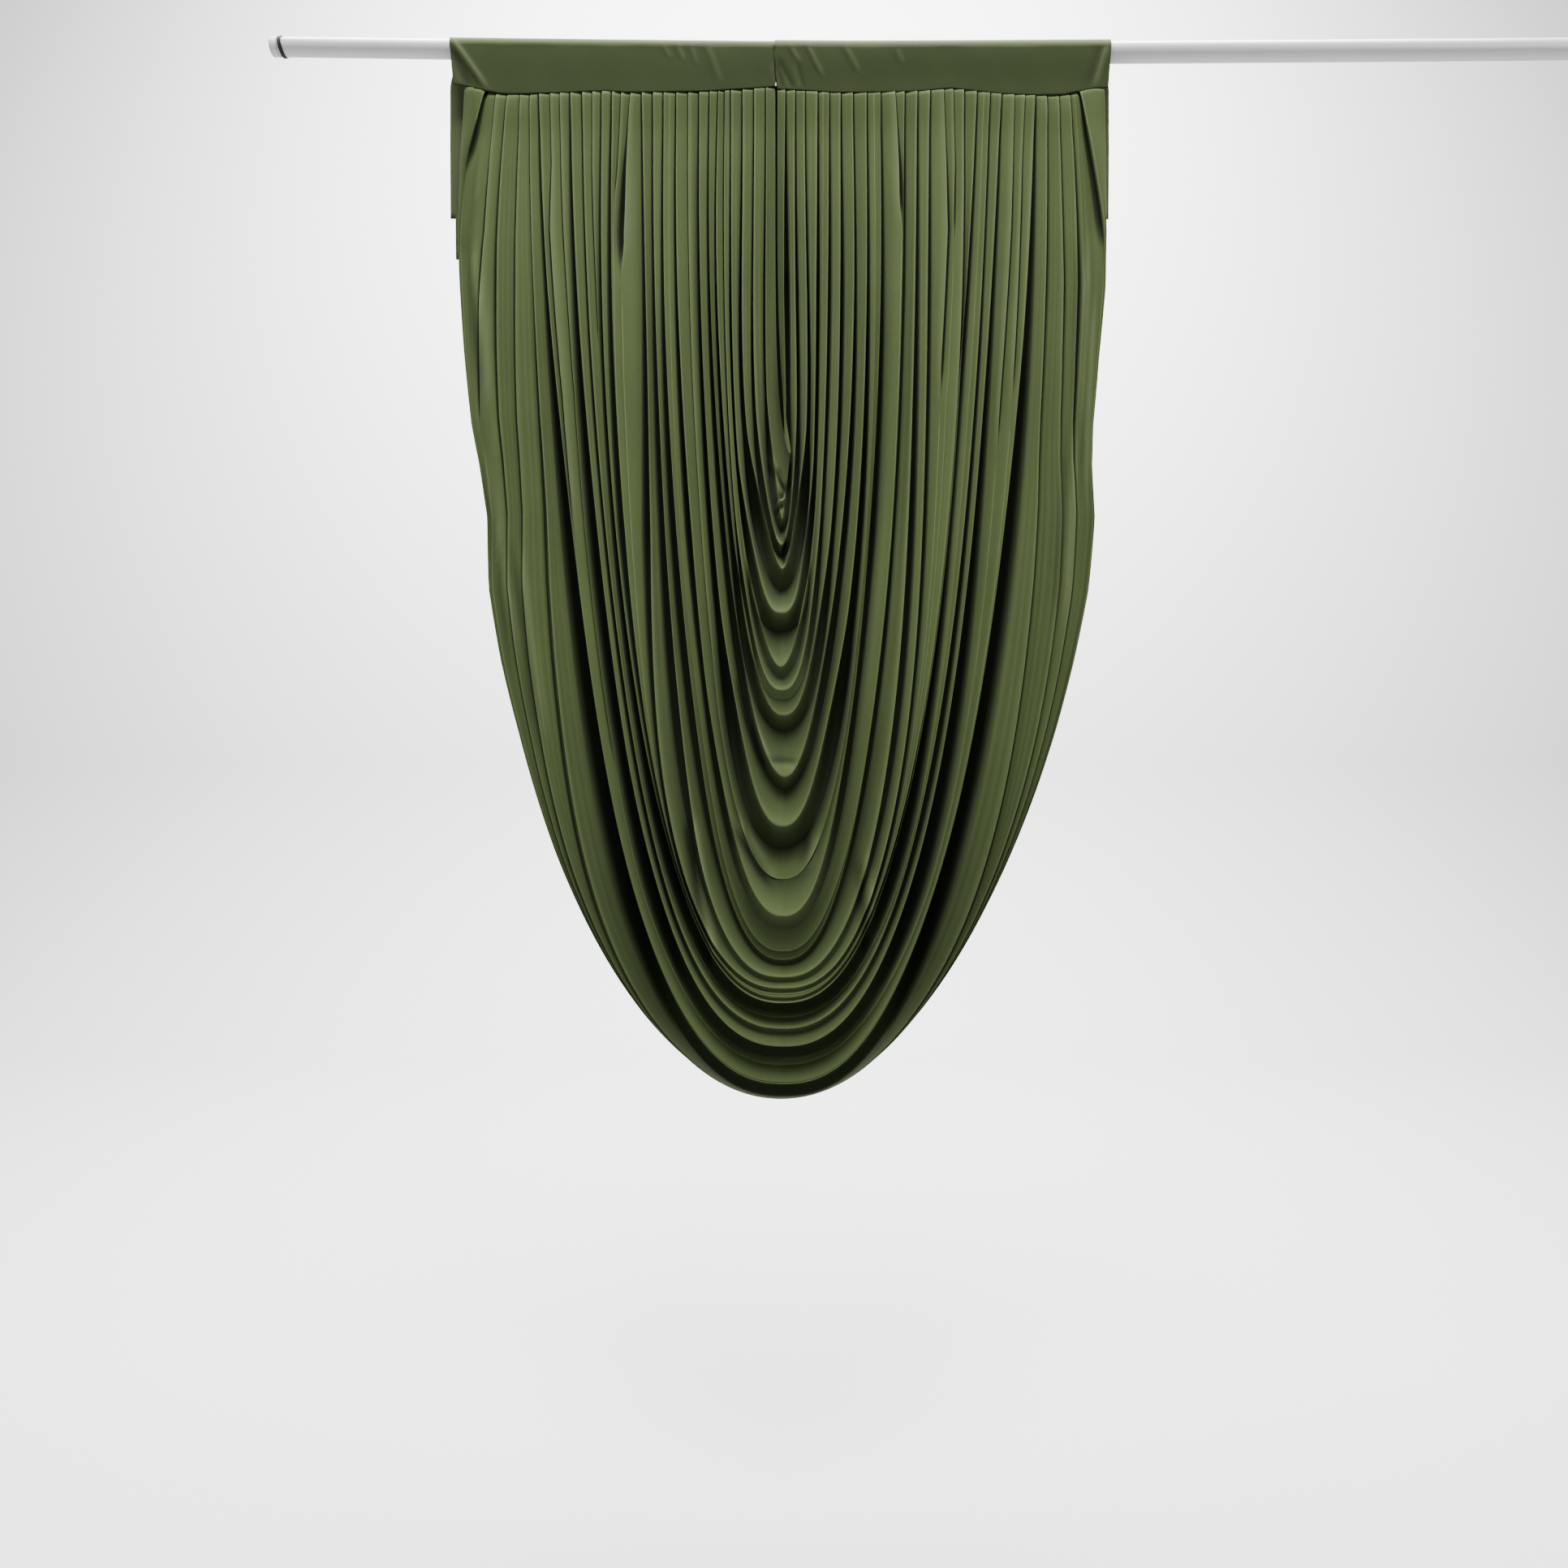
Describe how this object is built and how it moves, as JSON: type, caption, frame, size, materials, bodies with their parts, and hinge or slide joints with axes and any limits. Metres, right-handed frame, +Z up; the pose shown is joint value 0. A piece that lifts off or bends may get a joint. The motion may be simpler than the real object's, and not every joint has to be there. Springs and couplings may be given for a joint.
{
  "type": "swag drape on a rod",
  "caption": "Pleated cloth swag with nested U folds, sewn to header bands folded over a plain round telescopic rod.",
  "frame": {"origin": "the rod's axis directly over the arm that holds its left end", "axes": "+X along the rod to the viewer's right, +Y away from the viewer into the wall side, +Z up; the swag's face looks along -Y"},
  "size_m": [3, 0.1483, 2.1326],
  "materials": {
    "enamel": "smooth white enamel, satin",
    "plastic": "satin white",
    "rubber": "matt black",
    "cloth": "matt olive green stretch knit"
  },
  "bodies": {
    "root": {"rod_thin_tube": "enamel", "rod_thick_tube": "enamel", "end_cap_left": "plastic", "end_cap_right": "plastic", "rubber_ring": "rubber", "header_band_left": "cloth", "header_band_right": "cloth", "swag_cloth": "cloth"}
  },
  "joints": []
}
